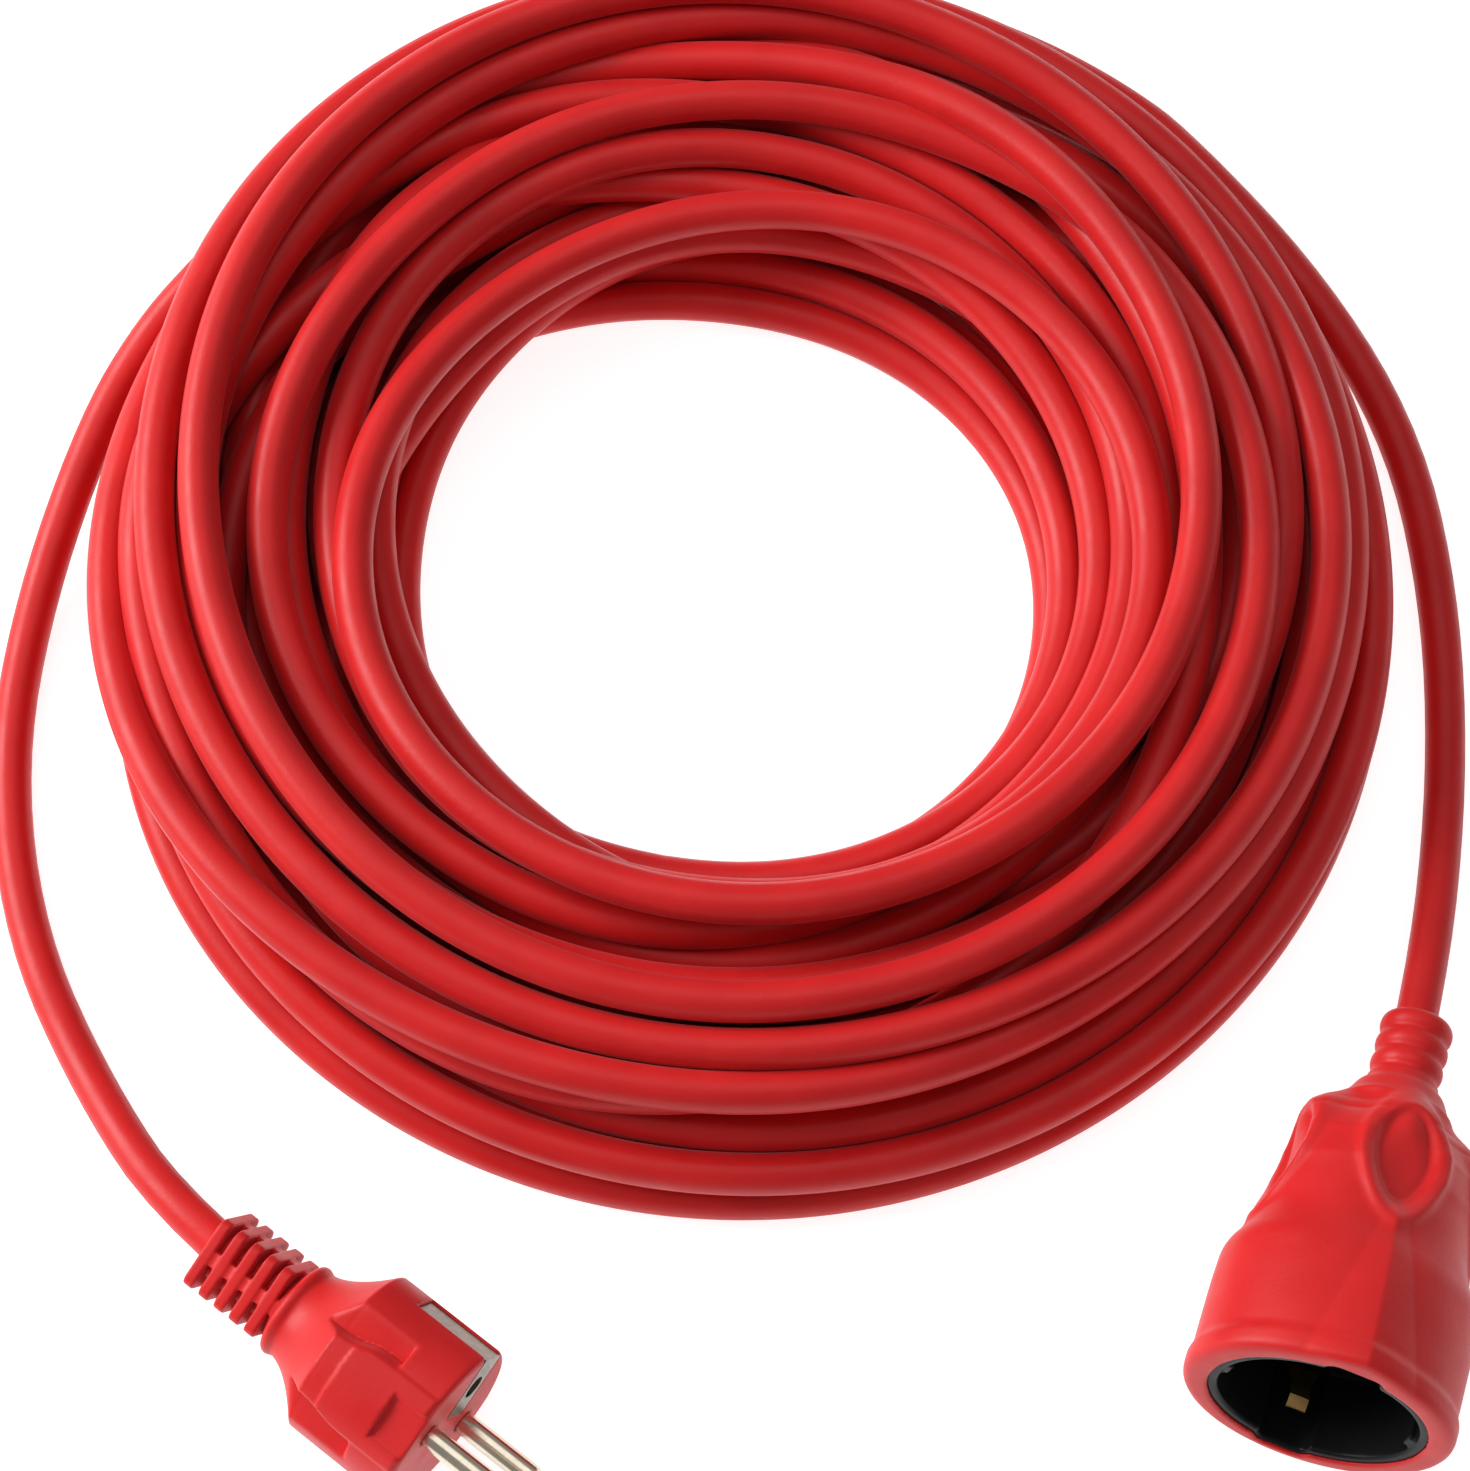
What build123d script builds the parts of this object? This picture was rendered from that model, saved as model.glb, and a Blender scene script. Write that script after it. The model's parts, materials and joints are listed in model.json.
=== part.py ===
from build123d import *
import math
import os

# Extension cord: a moulded earthed plug, a loose coil of three-core cord and a moulded
# two-pole earthed coupler socket. Millimetres, +Z up, floor at Z = 0.
# The origin is on the floor, midway along and across the plug and socket together.

# ---------------------------------------------------------------- driving dimensions
CORD_D = 8.6             # sheath diameter of the three-core cord
CORE_D = 2.8             # one insulated core
WIRE_D = 1.6             # stranded copper of 1.5 mm2 inside a core
CORE_PITCH_R = 1.75      # distance of each core's axis from the cord's axis

# plug
PLUG_R = 18.3            # body radius where it enters a socket
PLUG_FACE_AT = (-76.55, -36.11, PLUG_R)   # centre of the plug's face
PLUG_HEADING = -38.0     # plan direction that the pins point in, degrees from +X
PLUG_ROLL = 116.0        # direction of the upper pin, degrees from horizontal about the axis
SHOULDER_Z = -24.5       # end of the straight body, behind the face
COLLAR_Z = -36.5         # front of the rear collar
COLLAR_T = 2.6
COLLAR_R = 10.3
NECK_R = 9.7             # rear end of the body's cone
FACE_ROUND = 1.1
PIN_R = 2.4
PIN_STEM_R = 2.0         # the pin's held part, behind the face
PIN_START = 0.6          # the full radius starts this far in front of the face
PIN_STEM_Z = -15.0
PIN_L = 19.0             # pin length in front of the face
PIN_TIP_ROUND = 1.9
PIN_X = 9.5              # half of the 19 mm pin spacing
EARTH_Y = -10.0          # earth contact hole, beside the pins' line
EARTH_HOLE_R = 2.5
PANEL_HALF = 8.3         # half width of the raised grip panel
GRIP_X = 12.0            # depth of the grip recess, from the axis
GRIP_Z0 = -28.0
GRIP_Z1 = -11.0
RELIEF_PLATES = 5
RELIEF_PITCH = 3.9
PLATE_T = 2.1
PLATE_W = 15.6
PLATE_CORNER = 2.0
RELIEF_CORE_W = 11.4
CORE_CORNER = 2.4

# socket
MOUTH_R = 26.6           # outer rim of the rubber body
MOUTH_AT = (91.45, -32.81, 26.76)        # centre of the mouth plane
SOCKET_HEADING = -108.3  # plan direction that the mouth faces, degrees from +X
SOCKET_TILT = 8.5        # rise of the mouth above level
SOCKET_ROLL = -10.0
INSERT_R = 21.9          # black insert, outside
RECESS_R = 19.6          # recess that takes the plug
RECESS_DEPTH = 17.5
FLOOR_T = 3.0
CHANNEL_HALF = 6.2       # half width of the earth clip channels
CHANNEL_R = 23.0         # outside of the channels
CHANNEL_WALL = 1.0
HOLE_R = 2.6             # pin entry and contact bore
BASE_R = 15.4
BASE_T = 13.0
CLIP_T = 0.8
CLIP_W = 6.4
CLIP_TIP_W = 4.0
SOCKET_NECK_Z = -70.0
SOCKET_END_Z = -88.0
RING_R = 7.6
RING_CORE_R = 6.6
RINGS = 4

# cord, outside of its two ends: points of its centre line
COIL_AT = (-20.0, 152.0)
COIL_IN_R = 66.0
COIL_OUT_R = 141.0
COIL_H = 45.0
COIL_WALL_IN = 15.0      # height where the coil's inner side starts to slope
COIL_WALL_OUT = 20.0
COIL_SLOPE_IN = 16.0     # how far each slope reaches in plan
COIL_SLOPE_OUT = 22.0
COIL_ROUND = 9.0
LIE_Z = 4.4              # centre line of cord that lies on the floor
PLUG_CABLE_END = 34.0    # sheath is cut back to here, behind the plug's face
SOCKET_CABLE_END = 52.0  # and here, behind the socket's mouth

os.makedirs("parts", exist_ok=True)


# ---------------------------------------------------------------- frames and helpers
def frame_of(at, heading, tilt, roll):
    """Local frame: +Z out of the face or mouth, +X at the given roll from horizontal."""
    return Pos(*at) * Rot(0, 0, heading) * Rot(0, 90 - tilt, 0) * Rot(0, 0, roll + 90)


PLUG = frame_of(PLUG_FACE_AT, PLUG_HEADING, 0.0, PLUG_ROLL)
SOCKET = frame_of(MOUTH_AT, SOCKET_HEADING, SOCKET_TILT, SOCKET_ROLL)
PARTS = {}


def keep(name, shape, frame):
    """Place a local shape and keep it under its node name."""
    PARTS[name] = frame * shape


def rod(radius, z0, z1, x=0.0, y=0.0):
    low = min(z0, z1)
    return Pos(x, y, low) * Cylinder(radius, abs(z1 - z0), align=(Align.CENTER, Align.CENTER, Align.MIN))


def block(x0, x1, y0, y1, z0, z1):
    return Pos((x0 + x1) / 2, (y0 + y1) / 2, (z0 + z1) / 2) * Box(x1 - x0, y1 - y0, z1 - z0)


def turned(points):
    """Solid of revolution about local Z from (radius, z) corners."""
    outline = Polyline(*[(r, 0, z) for r, z in points], close=True)
    return revolve(make_face(outline), Axis.Z)


def tube_along(points, radii, radius):
    """Round rod along straight runs joined by tangent arcs."""
    path = FilletPolyline(*points, radius=radii)
    start = Plane(origin=path @ 0, z_dir=path % 0)
    return sweep(start * Circle(radius), path=path), path.length


def arc_radii(points, share=0.45):
    """The largest arc that each corner's two runs allow."""
    vectors = [Vector(*p) for p in points]
    radii = []
    for before, at, after in zip(vectors, vectors[1:], vectors[2:]):
        turn = (at - before).get_angle(after - at)
        run = min((at - before).length, (after - at).length)
        radii.append(share * run / math.tan(math.radians(turn) / 2))
    return radii


# ---------------------------------------------------------------- plug
CARRIER_Z0 = -14.0
CARRIER_Z1 = -3.0
CARRIER_R = 14.0
STRAP_T = 0.8
STRAP_HALF = 4.0
STRAP_OUT_Y = 16.9       # outer face of the side contacts, sunk below the body
STRAP_BACK_Z = -17.0
FACE_LEG_Y = -3.2        # inner end of the strap's exposed leg on the face
CROSS_Z = -2.2           # level of the strap where it crosses inside
SPIGOT_R = 7.4
SPIGOT_Z = -32.6         # front of the relief's spigot, where the hollow ends
POCKET_PLUG_R = 12.6     # hollow behind the carrier
POCKET_TAPER_Z = -26.0
POCKET_END_R = 7.0
SLEEVE_R = 3.2           # earth sleeve, outside
SLEEVE_Z = -13.0
CRIMP_R = 1.9
PLUG_CRIMP_Z0 = -23.0
PLUG_CRIMP_Z1 = -16.0
PLUG_WIRE_Z = -19.0      # the wires meet the pins' and the sleeve's tails here
GUIDE_X = 17.3           # floor of the guide groove at each side of the face
GUIDE_HALF = 4.8
GUIDE_Z = -8.0


def plug_outer():
    straight = turned([
        (0, 0), (PLUG_R, 0), (PLUG_R, SHOULDER_Z), (NECK_R, COLLAR_Z), (0, COLLAR_Z),
    ])
    front_rim = straight.edges().filter_by(GeomType.CIRCLE).sort_by(Axis.Z)[-1]
    body = fillet(front_rim, FACE_ROUND)
    collar = rod(COLLAR_R, COLLAR_Z - COLLAR_T, COLLAR_Z)
    collar = fillet(collar.edges().filter_by(GeomType.CIRCLE), 0.9)
    return body + collar


def earth_strap():
    """Bent strip: one side contact, over the face round the earth hole, across, other side."""
    half = STRAP_HALF
    out = STRAP_OUT_Y
    near_leg = block(-half, half, -out, -out + STRAP_T, STRAP_BACK_Z, 0)
    face_leg = block(-half, half, -out, FACE_LEG_Y, -STRAP_T, 0)
    step = block(-half, half, FACE_LEG_Y - STRAP_T, FACE_LEG_Y, CROSS_Z - STRAP_T, 0)
    cross = block(-half, half, FACE_LEG_Y - STRAP_T, out, CROSS_Z - STRAP_T, CROSS_Z)
    far_leg = block(-half, half, out - STRAP_T, out, STRAP_BACK_Z, CROSS_Z)
    strap = near_leg + face_leg + step + cross + far_leg
    return strap - rod(EARTH_HOLE_R, -5, 5, 0, EARTH_Y)


def plug_body():
    body = plug_outer()
    for side_x in (-1, 1):
        for side_y in (-1, 1):
            x0, x1 = sorted((side_x * GRIP_X, side_x * 30))
            y0, y1 = sorted((side_y * PANEL_HALF, side_y * 30))
            body -= block(x0, x1, y0, y1, GRIP_Z0, GRIP_Z1)
        x0, x1 = sorted((side_x * GUIDE_X, side_x * 30))
        body -= block(x0, x1, -GUIDE_HALF, GUIDE_HALF, GUIDE_Z, 1)
        body -= rod(PIN_STEM_R, CARRIER_Z1 - 1, 1, side_x * PIN_X)
    body -= rod(CARRIER_R, CARRIER_Z0, CARRIER_Z1)
    body -= turned([
        (0, CARRIER_Z0), (POCKET_PLUG_R, CARRIER_Z0), (POCKET_PLUG_R, POCKET_TAPER_Z),
        (POCKET_END_R, SPIGOT_Z), (0, SPIGOT_Z),
    ])
    body -= rod(SPIGOT_R, COLLAR_Z - COLLAR_T - 1, SPIGOT_Z + 0.1)
    body -= rod(SLEEVE_R, CARRIER_Z1 - 1, 1, 0, EARTH_Y)
    for side in (-1, 1):
        y0, y1 = sorted((side * (STRAP_OUT_Y - STRAP_T), side * 30))
        body -= block(-STRAP_HALF, STRAP_HALF, y0, y1, STRAP_BACK_Z, 1)
    body -= block(-STRAP_HALF, STRAP_HALF, -STRAP_OUT_Y, FACE_LEG_Y, -STRAP_T, 1)
    body -= block(-STRAP_HALF, STRAP_HALF, FACE_LEG_Y - STRAP_T, STRAP_OUT_Y, CARRIER_Z1 - 1, CROSS_Z)
    return body - block(-STRAP_HALF, STRAP_HALF, FACE_LEG_Y - STRAP_T, FACE_LEG_Y, CROSS_Z - 1, 1)


def square_plate(width, corner, z0, z1):
    plate = block(-width / 2, width / 2, -width / 2, width / 2, z0, z1)
    return chamfer(plate.edges().filter_by(Axis.Z), corner)


def plug_strain_relief():
    """Stack of plates on a square core, with a spigot held in the body's collar."""
    back = COLLAR_Z - COLLAR_T
    end = back - RELIEF_PLATES * RELIEF_PITCH
    relief = rod(SPIGOT_R, back, SPIGOT_Z)
    relief += square_plate(RELIEF_CORE_W, CORE_CORNER, end, back)
    for i in range(RELIEF_PLATES):
        z = end + i * RELIEF_PITCH
        relief += square_plate(PLATE_W, PLATE_CORNER, z, z + PLATE_T)
    return relief - rod(CORD_D / 2, end - 1, SPIGOT_Z + 1)


def pin_carrier():
    carrier = rod(CARRIER_R, CARRIER_Z0, CARRIER_Z1)
    for side in (-1, 1):
        carrier -= rod(PIN_STEM_R, CARRIER_Z0 - 1, 0, side * PIN_X)
    return carrier - rod(SLEEVE_R, CARRIER_Z0 - 1, 0, 0, EARTH_Y)


def pin(side):
    """Shaft with a rounded tip, on a thinner stem that a wire's crimp takes over from."""
    x = side * PIN_X
    shaft = rod(PIN_R, PIN_START, PIN_L, x)
    tip = shaft.edges().filter_by(GeomType.CIRCLE).sort_by(Axis.Z)[-1]
    stem = rod(PIN_STEM_R, PIN_STEM_Z, PIN_START, x)
    return fillet(tip, PIN_TIP_ROUND) + stem + rod(WIRE_D / 2, PLUG_WIRE_Z, PIN_STEM_Z, x)


def earth_sleeve():
    """Slit tube that takes a socket's earth pin, behind the hole in the strap."""
    sleeve = rod(SLEEVE_R, SLEEVE_Z, -STRAP_T, 0, EARTH_Y)
    sleeve -= rod(EARTH_HOLE_R, SLEEVE_Z + 1, 0, 0, EARTH_Y)
    sleeve -= block(-0.4, 0.4, EARTH_Y - 4, EARTH_Y + 4, SLEEVE_Z + 2.5, SLEEVE_Z + 7)
    return sleeve + rod(WIRE_D / 2, PLUG_WIRE_Z, SLEEVE_Z, 0, EARTH_Y)


PLUG_ENDS = [(PIN_X, 0.0), (-PIN_X, 0.0), (0.0, EARTH_Y)]


def core_path(end, angle, crimp_z, cable_z):
    """A core's centre line from its crimp back to the cut end of the sheath."""
    a = math.radians(angle)
    start = (CORE_PITCH_R * math.cos(a), CORE_PITCH_R * math.sin(a))
    third = (crimp_z - cable_z) * 0.3
    return [
        (end[0], end[1], crimp_z),
        (end[0], end[1], crimp_z - third),
        (start[0], start[1], cable_z + third),
        (start[0], start[1], cable_z),
    ]


def core_and_wire(end, angle, wire_z, crimp_z, cable_z):
    """Insulation from the crimp to the sheath, and the wire from inside the crimp."""
    points = core_path(end, angle, crimp_z, cable_z)
    radii = arc_radii(points, 0.42)
    insulation, _ = tube_along(points, radii, CORE_D / 2)
    wire, _ = tube_along(points, radii, WIRE_D / 2)
    wire += rod(WIRE_D / 2, crimp_z, wire_z, end[0], end[1])
    return insulation - wire, wire


def crimp(end, z0, z1):
    return rod(CRIMP_R, z0, z1, end[0], end[1]) - rod(WIRE_D / 2, z0 - 1, z1 + 1, end[0], end[1])


def build_plug():
    keep("plug_body", plug_body(), PLUG)
    keep("plug_strain_relief", plug_strain_relief(), PLUG)
    keep("plug_pin_carrier", pin_carrier(), PLUG)
    keep("plug_pin_live", pin(1), PLUG)
    keep("plug_pin_neutral", pin(-1), PLUG)
    keep("plug_earth_strap", earth_strap(), PLUG)
    keep("plug_earth_sleeve", earth_sleeve(), PLUG)
    wires = []
    for name, end, angle in zip(("brown", "blue", "green_yellow"), PLUG_ENDS, (0, 120, 240)):
        insulation, wire = core_and_wire(end, angle, PLUG_WIRE_Z, PLUG_CRIMP_Z0, -PLUG_CABLE_END)
        keep("plug_core_" + name, insulation, PLUG)
        wires.append(wire)
    keep("plug_wires", Compound(children=wires), PLUG)
    crimps = [crimp(end, PLUG_CRIMP_Z0, PLUG_CRIMP_Z1) for end in PLUG_ENDS]
    keep("plug_crimps", Compound(children=crimps), PLUG)


# ---------------------------------------------------------------- socket
POCKET_R = 14.8          # hollow behind the contact base
POCKET_TAPER_R = 13.0
POCKET_TAPER_END = -44.5
POCKET_NECK_R = 6.5
POCKET_END_Z = -50.0
RIB_HEIGHT = 1.5         # guide ribs at the sides of the recess
RIB_HALF = 1.9
RIB_Z = -1.5
FLOOR_Z = -RECESS_DEPTH
BACK_Z = -RECESS_DEPTH - FLOOR_T
BASE_Z = BACK_Z - BASE_T
BRIDGE_T = 0.8
BRIDGE_HALF = 3.6
BRIDGE_END = 0.6         # gap from the bridge's ends to the base's rim
TAIL_L = 3.5             # wire tails behind the base
CLIP_Y = 19.9            # inner face of the clip's foot
CLIP_FOOT_Z = -20.2
CLIP_GAP = 0.5           # room round the clip's foot in the insert's floor
CLIP_TRIM_Z = (-13.0, -9.5)              # the strip narrows to its tip between these
# how far the clip's arm leans in at each distance behind the mouth
CLIP_ARM = [(0, CLIP_FOOT_Z), (0, -15.5), (1.2, -12.6), (3.4, -8.6), (4.1, -6.6), (3.3, -4.2)]
CONTACT_R = 3.3

# half width and half height of the rubber body at each distance behind the mouth
BODY_SECTIONS = [
    (0.0, 25.4, 25.2), (-1.4, 26.4, 26.1), (-8.0, 26.2, 25.2), (-20.0, 26.1, 23.9),
    (-27.0, 25.6, 22.7), (-36.0, 21.6, 20.4), (-45.0, 19.8, 18.6), (-54.0, 20.2, 18.0),
    (-60.5, 19.4, 16.9), (-64.5, 14.5, 13.5), (SOCKET_NECK_Z, 8.8, 8.8),
]


def insert_outline(radius, channel_r, half, z0, z1):
    """Round cup with a channel standing out above and below."""
    shape = rod(radius, z0, z1)
    return shape + block(-half, half, -channel_r, channel_r, z0, z1)


def socket_body():
    outer = loft([Plane.XY.offset(z) * Ellipse(a, b) for z, a, b in BODY_SECTIONS])
    neck = rod(RING_CORE_R, SOCKET_END_Z, SOCKET_NECK_Z + 1.0)
    pitch = (SOCKET_NECK_Z - SOCKET_END_Z) / RINGS
    for i in range(RINGS):
        z = SOCKET_END_Z + i * pitch
        ring = rod(RING_R, z, z + 0.72 * pitch)
        neck += fillet(ring.edges().filter_by(GeomType.CIRCLE), 0.8)
    body = outer + neck
    body -= insert_outline(INSERT_R, CHANNEL_R, CHANNEL_HALF, BACK_Z, 1)
    body -= rod(BASE_R, BASE_Z, BACK_Z + 1)
    body -= turned([
        (0, BASE_Z), (POCKET_R, BASE_Z), (POCKET_TAPER_R, POCKET_TAPER_END),
        (POCKET_NECK_R, POCKET_END_Z), (0, POCKET_END_Z),
    ])
    return body - rod(CORD_D / 2, SOCKET_END_Z - 1, POCKET_END_Z + 1)


def socket_insert():
    """Cup with guide ribs at its sides and a channel for each earth clip."""
    cup = insert_outline(INSERT_R, CHANNEL_R, CHANNEL_HALF, BACK_Z, 0)
    hollow = rod(RECESS_R, FLOOR_Z, 1)
    inner_half = CHANNEL_HALF - CHANNEL_WALL
    inner_y = CHANNEL_R - CHANNEL_WALL
    hollow += block(-inner_half, inner_half, -inner_y, inner_y, FLOOR_Z, 1)
    for side in (-1, 1):
        x0, x1 = sorted((side * (RECESS_R - RIB_HEIGHT), side * (RECESS_R + 1)))
        hollow -= block(x0, x1, -RIB_HALF, RIB_HALF, FLOOR_Z, RIB_Z)
    cup -= hollow
    slot_half = CLIP_W / 2 + CLIP_GAP
    for side in (-1, 1):
        cup -= rod(HOLE_R, BACK_Z - 1, FLOOR_Z + 1, side * PIN_X)
        y0, y1 = sorted((side * (CLIP_Y - CLIP_GAP), side * (CLIP_Y + CLIP_T + CLIP_GAP)))
        cup -= block(-slot_half, slot_half, y0, y1, BACK_Z - 1, FLOOR_Z + 1)
    return cup


def contact_base():
    """Block behind the floor that holds the line contacts and the earth bridge."""
    base = rod(BASE_R, BASE_Z, BACK_Z)
    slot_half = BRIDGE_HALF + 0.4
    base -= block(-slot_half, slot_half, -30, 30, BACK_Z - BRIDGE_T, BACK_Z + 1)
    for side in (-1, 1):
        base -= rod(CONTACT_R, BASE_Z - 1, BACK_Z + 1, side * PIN_X)
    return base - rod(WIRE_D / 2 + 0.3, BASE_Z - 1, BACK_Z + 1, 0, EARTH_Y)


def contact(side):
    """Slit sleeve that grips a pin, with a tail for its crimp."""
    x = side * PIN_X
    sleeve = rod(CONTACT_R, BASE_Z + 0.5, BACK_Z, x) - rod(HOLE_R, BASE_Z + 1.5, BACK_Z + 1, x)
    sleeve -= block(x - 4, x + 4, -0.4, 0.4, BASE_Z + 4.5, BACK_Z - 2.0)
    return sleeve + rod(WIRE_D / 2, BASE_Z - TAIL_L, BASE_Z + 0.6, x)


def earth_bridge():
    """Strip behind the floor that joins the two clips, with a tail for its crimp."""
    end_y = BASE_R - BRIDGE_END
    strip = block(-BRIDGE_HALF, BRIDGE_HALF, -end_y, end_y, BACK_Z - BRIDGE_T, BACK_Z)
    return strip + rod(WIRE_D / 2, BASE_Z - TAIL_L, BACK_Z - BRIDGE_T, 0, EARTH_Y)


def earth_clip(side):
    """Springy strip: foot in the floor, then a bent arm that leans into the recess."""
    arm = [(CLIP_Y - lean, z) for lean, z in CLIP_ARM]
    outer = [(y + CLIP_T, z) for y, z in reversed(arm)]
    outline = Polyline(*[(0, side * y, z) for y, z in arm + outer], close=True)
    strip = extrude(make_face(outline), amount=CLIP_W / 2, both=True, dir=(1, 0, 0))
    corners = [
        (CLIP_W / 2, CLIP_TRIM_Z[0]), (CLIP_W, CLIP_TRIM_Z[0]), (CLIP_W, 0),
        (CLIP_TIP_W / 2, 0), (CLIP_TIP_W / 2, CLIP_TRIM_Z[1]),
    ]
    for x_side in (-1, 1):
        trim = Polyline(*[(x_side * x, 0, z) for x, z in corners], close=True)
        strip -= extrude(make_face(trim), amount=30, both=True, dir=(0, 1, 0))
    return strip


SOCKET_ENDS = [(PIN_X, 0.0), (-PIN_X, 0.0), (0.0, EARTH_Y)]


def build_socket():
    keep("socket_body", socket_body(), SOCKET)
    keep("socket_insert", socket_insert(), SOCKET)
    keep("socket_contact_base", contact_base(), SOCKET)
    keep("socket_contact_live", contact(-1), SOCKET)
    keep("socket_contact_neutral", contact(1), SOCKET)
    keep("socket_earth_bridge", earth_bridge(), SOCKET)
    keep("earth_clip_upper", earth_clip(1), SOCKET)
    keep("earth_clip_lower", earth_clip(-1), SOCKET)
    wires = []
    wire_z = BASE_Z - TAIL_L
    crimp_z = wire_z - 3.0
    for name, end, angle in zip(("blue", "brown", "green_yellow"), SOCKET_ENDS, (0, 120, 240)):
        insulation, wire = core_and_wire(end, angle, wire_z, crimp_z, -SOCKET_CABLE_END)
        keep("socket_core_" + name, insulation, SOCKET)
        wires.append(wire)
    keep("socket_wires", Compound(children=wires), SOCKET)
    crimps = [crimp(end, crimp_z, BASE_Z - 0.5) for end in SOCKET_ENDS]
    keep("socket_crimps", Compound(children=crimps), SOCKET)


# ---------------------------------------------------------------- cord
def axis_point(frame, distance):
    """A point on the axis, that far behind the face or mouth."""
    return tuple((frame * Pos(0, 0, -distance)).position)


PLUG_ROUTE = [
    axis_point(PLUG, PLUG_CABLE_END),
    axis_point(PLUG, 69.0),
    (-151, 36, 7.5), (-168, 70, LIE_Z), (-175, 109, LIE_Z), (-171, 148, 5.5), (-159, 186, 13),
    (-147, 205, 17),
]
SOCKET_ROUTE = [
    axis_point(SOCKET, SOCKET_CABLE_END),
    axis_point(SOCKET, 94.0),
    (129.5, 101, LIE_Z), (131.5, 145, LIE_Z), (126, 187, LIE_Z), (107, 226, LIE_Z), (78, 253, 4.6),
]


def build_cord():
    for name, route in (("cord_plug_tail", PLUG_ROUTE), ("cord_socket_tail", SOCKET_ROUTE)):
        radii = arc_radii(route)
        tube, length = tube_along(route, radii, CORD_D / 2)
        section = math.pi * (CORD_D / 2) ** 2
        print(name, "radii", [round(r, 1) for r in radii])
        fullness = tube.volume / section / length
        print(name, "length", round(length, 1), "volume / (section x length)", round(fullness, 4))
        PARTS[name] = tube
    top_in = COIL_IN_R + COIL_SLOPE_IN
    top_out = COIL_OUT_R - COIL_SLOPE_OUT
    ring = turned([
        (COIL_IN_R, 0), (COIL_IN_R, COIL_WALL_IN), (top_in, COIL_H), (top_out, COIL_H),
        (COIL_OUT_R, COIL_WALL_OUT), (COIL_OUT_R, 0),
    ])
    edges = ring.edges().filter_by(GeomType.CIRCLE).filter_by(lambda e: e.center().Z > 1)
    PARTS["cord_coil"] = Pos(COIL_AT[0], COIL_AT[1], 0) * fillet(edges, COIL_ROUND)


build_plug()
build_socket()
build_cord()

boxes = [shape.bounding_box() for node, shape in PARTS.items() if not node.startswith("cord_")]
low = [min(tuple(box.min)[i] for box in boxes) for i in range(3)]
high = [max(tuple(box.max)[i] for box in boxes) for i in range(3)]
print("plug and socket, low", [round(v, 3) for v in low], "high", [round(v, 3) for v in high])
print("middle", [round((a + b) / 2, 3) for a, b in zip(low, high)])

for node, shape in PARTS.items():
    export_step(shape, "parts/" + node + ".step")
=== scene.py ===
import json
import math

import bpy
import numpy as np
import openvdb
from mathutils import Euler, Matrix, Vector


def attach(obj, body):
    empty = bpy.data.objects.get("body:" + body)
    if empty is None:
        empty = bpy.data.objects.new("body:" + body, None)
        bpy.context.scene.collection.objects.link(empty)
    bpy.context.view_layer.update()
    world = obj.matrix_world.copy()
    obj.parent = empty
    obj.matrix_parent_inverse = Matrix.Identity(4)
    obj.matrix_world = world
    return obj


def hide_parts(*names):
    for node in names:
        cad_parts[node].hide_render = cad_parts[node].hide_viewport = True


# A red extension cord on a white studio floor. The moulded pieces are worked out in
# millimetres in the plug's and the socket's own frames, and placed in metres.
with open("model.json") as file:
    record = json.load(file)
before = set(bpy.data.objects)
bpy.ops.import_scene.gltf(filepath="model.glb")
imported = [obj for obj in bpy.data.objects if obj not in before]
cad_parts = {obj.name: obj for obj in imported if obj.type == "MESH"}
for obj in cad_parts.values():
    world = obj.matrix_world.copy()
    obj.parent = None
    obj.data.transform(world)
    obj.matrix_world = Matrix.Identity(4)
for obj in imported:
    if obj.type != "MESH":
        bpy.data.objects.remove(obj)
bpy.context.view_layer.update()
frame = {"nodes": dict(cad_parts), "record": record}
NODES = frame["nodes"]
BODY = "cord_set"
MM = 0.001

# ---------------------------------------------------------------- driving dimensions
CORD_D = 8.6
PIN_X = 9.5               # half of the pin spacing
PLUG_R = 18.3
SHOULDER_Z = -24.5
COLLAR_Z = -36.5
COLLAR_T = 2.6
COLLAR_R = 10.3
NECK_R = 9.7
FACE_ROUND = 1.3
CONE_CURVE = 1.6          # 1 is a straight cone, more is more hollow
PIN_HOLE_R = 2.25
SLEEVE_R = 3.3            # hole for the earth sleeve
CARRIER_R = 14.1          # hollow for the block that holds the pins
CARRIER_Z = (-14.1, -2.9)
SPIGOT_Z = -32.6          # front of the strain relief's spigot
SPIGOT_R = 7.4
POCKET = [(-32.6, 7.0), (-26.0, 12.6), (-14.0, 12.6)]   # z and radius of the hollow for the cores
STRAP_HALF = 4.0
STRAP_GAP = 0.15          # clear space round the metal strip in its slots
STRAP_OUT_Y = 16.9
STRAP_BACK_Z = -17.0
STRAP_T = 0.8
FACE_LEG_Y = -3.2
EARTH_Y = -10.0
PAD_RISE = 0.35           # the grip panel's pad stands this far out of the barrel
PAD_Z = (-20.0, -0.9)
PAD_X = 14.0
PANEL_HALF = 8.3          # half width of the grip panel in the pins' plane
GRIP_X = 12.0
GRIP_Z = (-28.0, -11.0)
GUIDE_X = 16.9            # floor of the shallow guide groove at each side of the face
GUIDE_HALF = 4.8
GUIDE_Z = -8.0
RELIEF_PLATES = 5
RELIEF_PITCH = 3.9
PLATE_T = 2.4
PLATE_HALF = 7.8
RELIEF_CORE_HALF = 4.9
RELIEF_CORE_CORNER = 2.4
PLATE_CORNER = 2.0
WEB_HALF = 1.6            # webs that join the plates, in the middle of each side
WEB_SUNK = 0.3

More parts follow.
